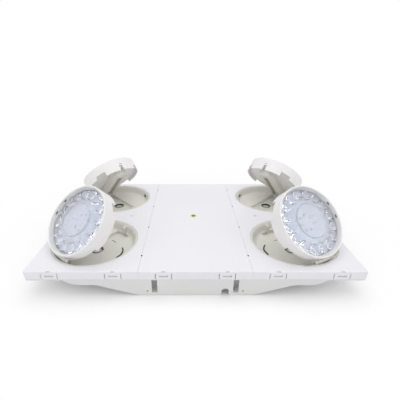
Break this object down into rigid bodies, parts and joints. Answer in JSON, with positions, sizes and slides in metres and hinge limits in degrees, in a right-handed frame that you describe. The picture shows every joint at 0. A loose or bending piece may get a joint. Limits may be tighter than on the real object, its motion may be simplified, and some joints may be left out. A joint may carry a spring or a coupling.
{
  "type": "emergency light",
  "caption": "Recessed ceiling emergency light with a face of clipped panels, round lamp heads that tilt and swivel in dished cups, and a test button.",
  "frame": {"origin": "centre of the back face, on the surface that the light lies on", "axes": "+Z out of the face, +X along the length to the right, +Y to the back edge"},
  "size_m": [0.42, 0.284, 0.1173],
  "materials": {
    "face_plastic": "satin moulded",
    "housing_plastic": "satin moulded",
    "cup_plastic": "satin moulded",
    "lamp_plastic": "satin moulded",
    "bezel_plastic": "satin moulded",
    "clear_lens": "clear moulded",
    "lamp_board": "white coated board",
    "emitter": "phosphor",
    "light_ring": "translucent",
    "button_plastic": "smooth",
    "circuit_board": "coated board",
    "black_plastic": "moulded",
    "coil_tape": "taped winding",
    "cell_wrap": "shrink wrap",
    "steel": "plain"
  },
  "bodies": {
    "fixture": {"back_housing": "housing_plastic", "left_panel": "face_plastic", "center_panel": "face_plastic", "right_panel": "face_plastic", "indicator_ring": "light_ring", "control_board": "circuit_board", "test_switch": "black_plastic", "transformer": "coil_tape", "terminal_block": "black_plastic", "battery_pack": "cell_wrap", "battery_strap": "steel", "inner_screws": "steel"},
    "test_button": {"test_button": "button_plastic"},
    "front_left_swivel": {"front_left_cup": "cup_plastic", "front_left_cup_ring": "cup_plastic", "front_left_hinge_pin": "steel"},
    "front_left_lamp": {"front_left_arm": "cup_plastic", "front_left_arm_screws": "steel", "front_left_shell": "lamp_plastic", "front_left_bezel": "bezel_plastic", "front_left_lens": "clear_lens", "front_left_led_board": "lamp_board", "front_left_leds": "emitter"},
    "front_right_swivel": {"front_right_cup": "cup_plastic", "front_right_cup_ring": "cup_plastic", "front_right_hinge_pin": "steel"},
    "front_right_lamp": {"front_right_arm": "cup_plastic", "front_right_arm_screws": "steel", "front_right_shell": "lamp_plastic", "front_right_bezel": "bezel_plastic", "front_right_lens": "clear_lens", "front_right_led_board": "lamp_board", "front_right_leds": "emitter"},
    "back_left_swivel": {"back_left_cup": "cup_plastic", "back_left_cup_ring": "cup_plastic", "back_left_hinge_pin": "steel"},
    "back_left_lamp": {"back_left_arm": "cup_plastic", "back_left_arm_screws": "steel", "back_left_shell": "lamp_plastic", "back_left_bezel": "bezel_plastic", "back_left_lens": "clear_lens", "back_left_led_board": "lamp_board", "back_left_leds": "emitter"},
    "back_right_swivel": {"back_right_cup": "cup_plastic", "back_right_cup_ring": "cup_plastic", "back_right_hinge_pin": "steel"},
    "back_right_lamp": {"back_right_arm": "cup_plastic", "back_right_arm_screws": "steel", "back_right_shell": "lamp_plastic", "back_right_bezel": "bezel_plastic", "back_right_lens": "clear_lens", "back_right_led_board": "lamp_board", "back_right_leds": "emitter"}
  },
  "joints": [
    {"name": "test_button_press", "type": "slide", "parent": "fixture", "child": "test_button", "axis": [0, 0, -1], "range_m": [0, 0.0015], "stiffness_N_per_m": 800, "springref_m": -0.0004},
    {"name": "front_left_swivel_turn", "type": "hinge", "parent": "fixture", "child": "front_left_swivel", "pos_m": [-0.141, -0.0723, 0.038], "axis": [0, 0, 1], "range_deg": [-160, 160]},
    {"name": "front_left_lamp_tilt", "type": "hinge", "parent": "front_left_swivel", "child": "front_left_lamp", "pos_m": [-0.17278, -0.11155, 0.0375], "axis": [0.7771, -0.6293, 0], "range_deg": [-45, 40]},
    {"name": "front_right_swivel_turn", "type": "hinge", "parent": "fixture", "child": "front_right_swivel", "pos_m": [0.141, -0.0723, 0.038], "axis": [0, 0, 1], "range_deg": [-160, 160]},
    {"name": "front_right_lamp_tilt", "type": "hinge", "parent": "front_right_swivel", "child": "front_right_lamp", "pos_m": [0.16471, -0.11689, 0.0375], "axis": [0.8829, 0.4695, 0], "range_deg": [-45, 40]},
    {"name": "back_left_swivel_turn", "type": "hinge", "parent": "fixture", "child": "back_left_swivel", "pos_m": [-0.141, 0.0723, 0.038], "axis": [0, 0, 1], "range_deg": [-160, 160]},
    {"name": "back_left_lamp_tilt", "type": "hinge", "parent": "back_left_swivel", "child": "back_left_lamp", "pos_m": [-0.17608, 0.10863, 0.0375], "axis": [-0.7193, -0.6947, 0], "range_deg": [-45, 40]},
    {"name": "back_right_swivel_turn", "type": "hinge", "parent": "fixture", "child": "back_right_swivel", "pos_m": [0.141, 0.0723, 0.038], "axis": [0, 0, 1], "range_deg": [-160, 160]},
    {"name": "back_right_lamp_tilt", "type": "hinge", "parent": "back_right_swivel", "child": "back_right_lamp", "pos_m": [0.1764, 0.10832, 0.0375], "axis": [-0.7133, 0.7009, 0], "range_deg": [-45, 40]}
  ]
}
